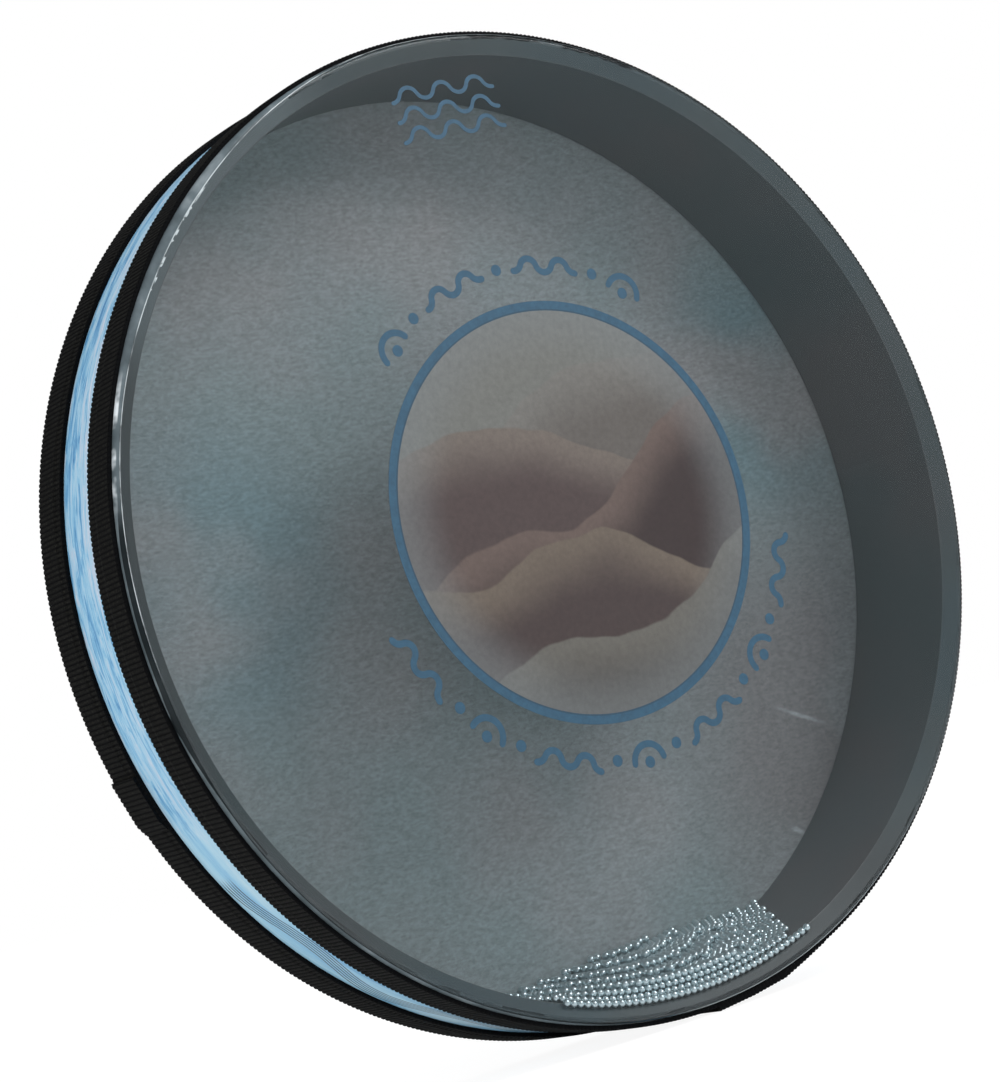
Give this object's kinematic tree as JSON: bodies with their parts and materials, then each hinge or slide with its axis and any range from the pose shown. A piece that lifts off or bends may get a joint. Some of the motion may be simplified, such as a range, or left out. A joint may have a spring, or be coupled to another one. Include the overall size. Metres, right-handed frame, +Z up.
{
  "type": "ocean drum",
  "caption": "Shallow round ocean drum on its edge: printed shell, clear front film, cloudy rear film, black webbing bound round both rims, loose steel balls heaped inside.",
  "frame": {"origin": "centre of the footprint on the floor under the drum, where the bounding box's bottom face is", "axes": "+X to the right as seen from the front, +Y from the clear front head to the rear head along the drum's axis, +Z up"},
  "size_m": [0.41, 0.0652, 0.4115],
  "materials": {
    "shell": "satin lacquered wood-fibre laminate",
    "shell_wrap": "printed satin vinyl film",
    "clear_film": "clear polyester film, glossy",
    "cloudy_film": "grey polyester film with a fine grain",
    "tape": "ribbed woven webbing, matt",
    "balls": "polished steel"
  },
  "bodies": {
    "drum": {"shell": "shell", "shell_wrap": "shell_wrap", "front_head": "clear_film", "rear_head": "cloudy_film", "front_binding_tape": "tape", "rear_binding_tape": "tape"},
    "ball_heap": {"ball_row_01": "balls", "ball_row_02": "balls", "ball_row_03": "balls", "ball_row_04": "balls", "ball_row_05": "balls", "ball_row_06": "balls", "ball_row_07": "balls", "ball_row_08": "balls", "ball_row_09": "balls", "ball_row_10": "balls", "ball_row_11": "balls", "ball_row_12": "balls", "ball_row_13": "balls", "ball_row_14": "balls", "ball_row_15": "balls", "ball_row_16": "balls", "ball_row_17": "balls", "ball_row_18": "balls", "ball_row_19": "balls"}
  },
  "joints": [
    {"name": "balls_roll_round", "type": "hinge", "parent": "drum", "child": "ball_heap", "pos_m": [0, 0, 0.20647], "axis": [0, 1, 0], "continuous": true}
  ]
}
